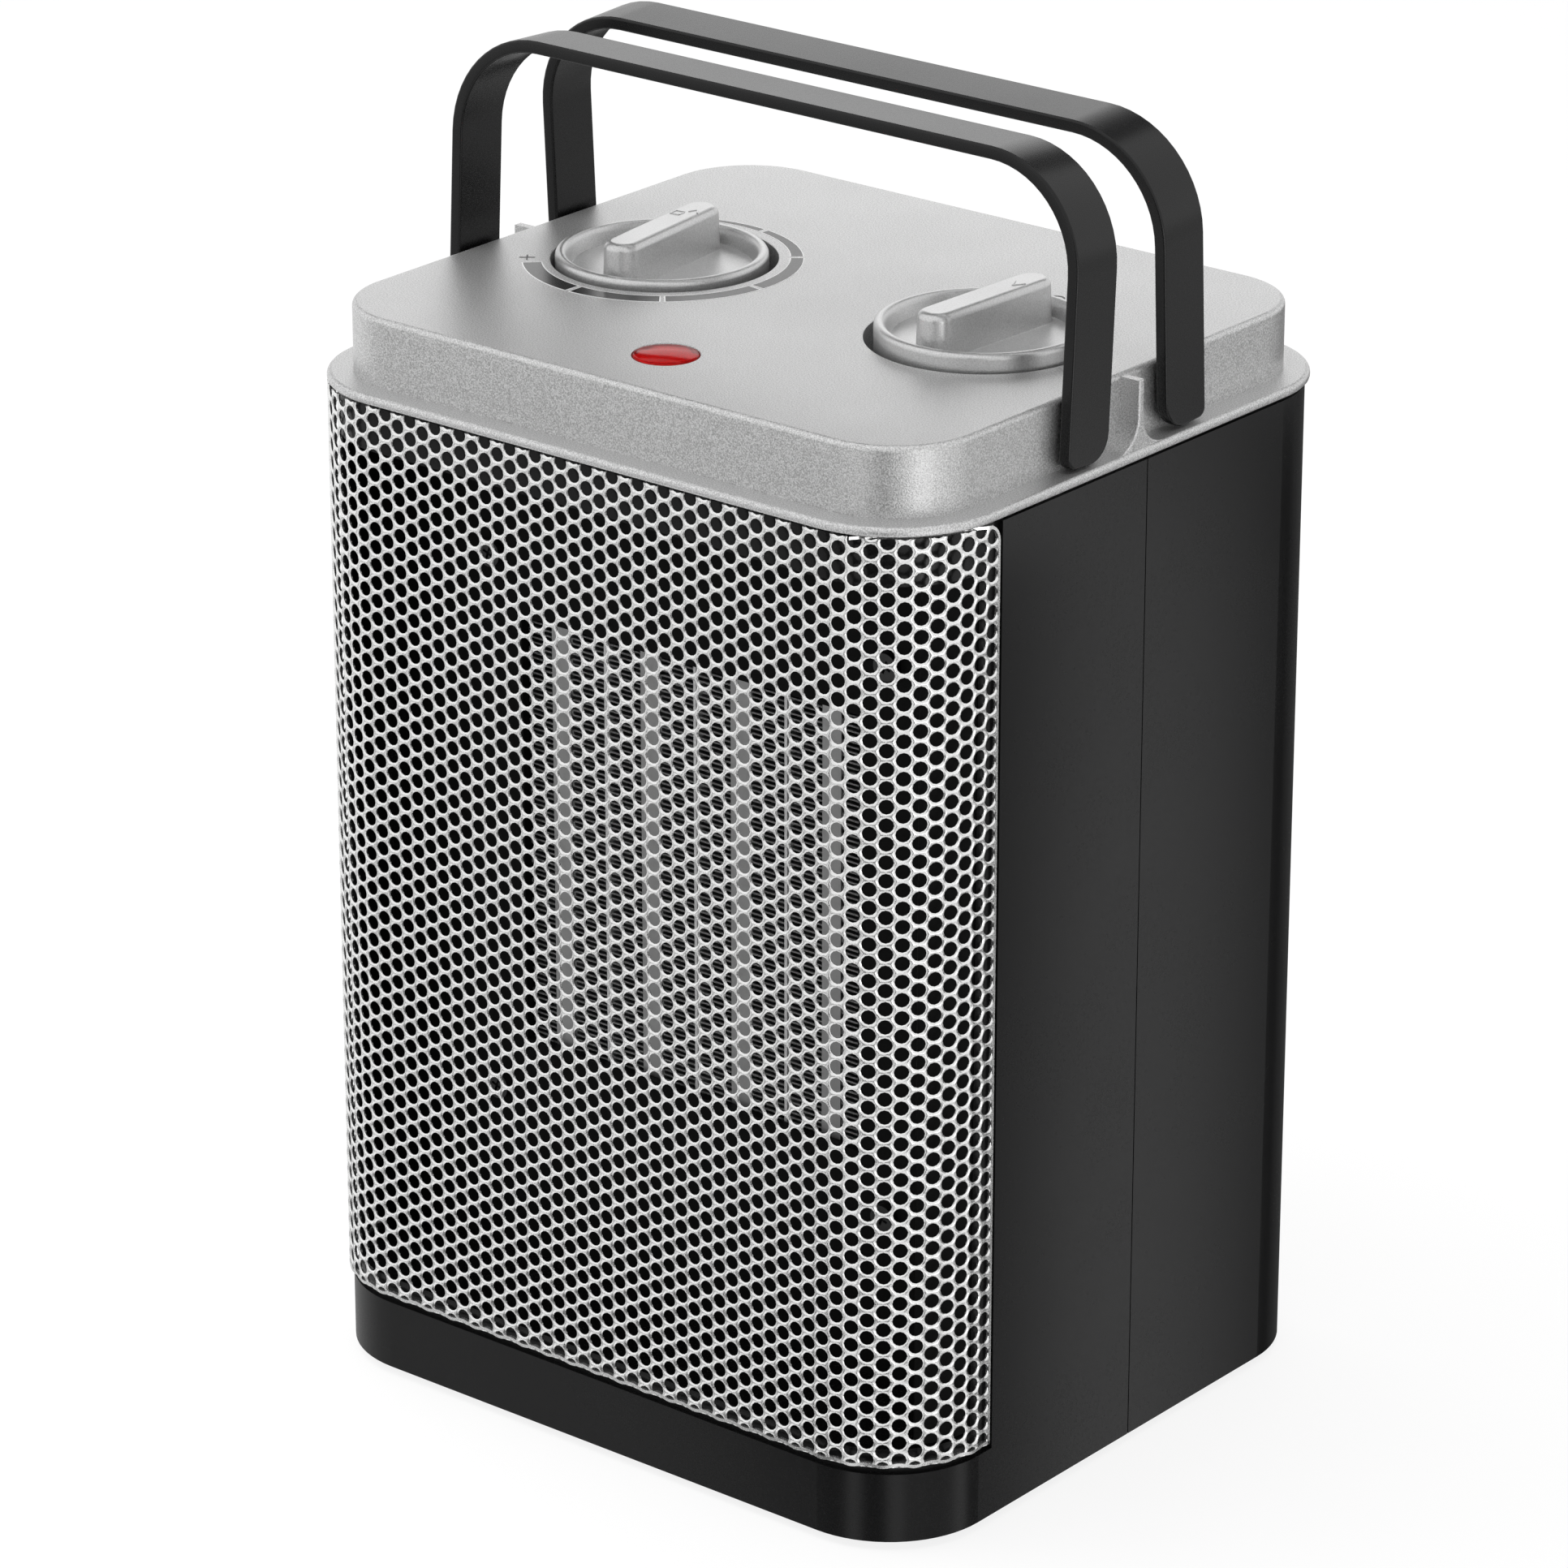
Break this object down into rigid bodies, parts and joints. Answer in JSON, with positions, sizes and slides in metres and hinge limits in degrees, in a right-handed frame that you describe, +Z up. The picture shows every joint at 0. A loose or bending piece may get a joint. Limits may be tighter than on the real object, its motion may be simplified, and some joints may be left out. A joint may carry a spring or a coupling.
{
  "type": "ceramic space heater",
  "caption": "Upright tabletop ceramic heater with a wrapped perforated grille, raised silver top, dished knobs, pilot light and folding carry bails.",
  "frame": {"origin": "on the surface the heater stands on, at the middle of its plan outline", "axes": "+X to the right seen from the grille, -Y the way the grille faces, +Z up"},
  "size_m": [0.17, 0.15, 0.2902],
  "materials": {
    "silver_paint": "metallic silver paint on moulded plastic, satin",
    "grille_paint": "light silver paint on perforated sheet",
    "black_shell": "black moulded plastic, satin gloss",
    "handle_black": "black moulded plastic, satin",
    "black_inner": "black heat-resistant plastic, matt",
    "white_plastic": "natural nylon",
    "fan_plastic": "dark glass-filled plastic",
    "ceramic_white": "glazed white insulating block",
    "red_lens": "red translucent moulding",
    "lamp_glass": "clear glass envelope",
    "rubber": "black soft rubber",
    "spring_steel": "bright steel",
    "zinc": "zinc-plated steel",
    "brass": "plain brass",
    "heater_metal": "bare aluminium",
    "wire_cover": "woven heat-resistant sleeve"
  },
  "bodies": {
    "heater": {"front_housing": "black_shell", "rear_housing": "black_shell", "top_cover": "silver_paint", "front_grille": "grille_paint", "base_plate": "black_inner", "rubber_feet": "rubber", "thermostat_body": "black_inner", "selector_body": "black_inner", "indicator_lens": "red_lens", "indicator_lamp": "lamp_glass", "heater_bars": "heater_metal", "divider_plates": "heater_metal", "heater_fins": "heater_metal", "upper_element_holder": "black_inner", "lower_element_holder": "black_inner", "element_terminals": "brass", "baffle_plate": "black_inner", "element_duct": "black_inner", "fan_shroud": "black_inner", "motor_stator": "zinc", "motor_can": "zinc", "motor_end_cap": "zinc", "motor_bushes": "brass", "motor_bracket": "zinc", "tip_switch_body": "black_inner", "tip_switch_spring": "spring_steel", "thermal_cutout": "zinc", "thermal_fuse": "white_plastic", "terminal_block": "ceramic_white", "cord_inlet_bush": "rubber", "wire_supply": "wire_cover", "wire_link": "wire_cover", "wire_element": "wire_cover", "wire_return": "wire_cover", "wire_motor": "wire_cover", "cover_screws": "zinc", "base_screws": "zinc", "housing_screws": "zinc", "control_screws": "zinc", "duct_screws": "zinc", "bracket_screws": "zinc", "motor_screws": "zinc", "tip_switch_screws": "zinc"},
    "front_handle": {"front_handle": "handle_black", "front_handle_clips": "spring_steel"},
    "rear_handle": {"rear_handle": "handle_black", "rear_handle_clips": "spring_steel"},
    "thermostat_dial": {"thermostat_knob": "silver_paint", "thermostat_spindle": "zinc"},
    "mode_dial": {"mode_knob": "silver_paint", "selector_spindle": "zinc"},
    "fan": {"fan_impeller": "fan_plastic", "motor_shaft": "spring_steel", "motor_rotor": "zinc"},
    "tip_plunger": {"tip_switch_plunger": "white_plastic"}
  },
  "joints": [
    {"name": "front_handle_fold", "type": "hinge", "parent": "heater", "child": "front_handle", "pos_m": [0, -0.0163, 0.2336], "axis": [1, 0, 0], "range_deg": [0, 93]},
    {"name": "rear_handle_fold", "type": "hinge", "parent": "heater", "child": "rear_handle", "pos_m": [0, 0.0163, 0.2336], "axis": [-1, 0, 0], "range_deg": [0, 93]},
    {"name": "thermostat_turn", "type": "hinge", "parent": "heater", "child": "thermostat_dial", "pos_m": [-0.0433, 0.0005, 0.2415], "axis": [0, 0, 1], "range_deg": [-232, 38]},
    {"name": "mode_turn", "type": "hinge", "parent": "heater", "child": "mode_dial", "pos_m": [0.0433, 0.0005, 0.2415], "axis": [0, 0, 1], "range_deg": [-135, 0]},
    {"name": "fan_spin", "type": "hinge", "parent": "heater", "child": "fan", "pos_m": [0, 0, 0.123], "axis": [0, 1, 0], "continuous": true},
    {"name": "tip_plunger_slide", "type": "slide", "parent": "heater", "child": "tip_plunger", "axis": [0, 0, -1], "range_m": [0, 0.003], "stiffness_N_per_m": 60, "springref_m": 0.0045, "deforming": ["tip_switch_spring"]}
  ]
}
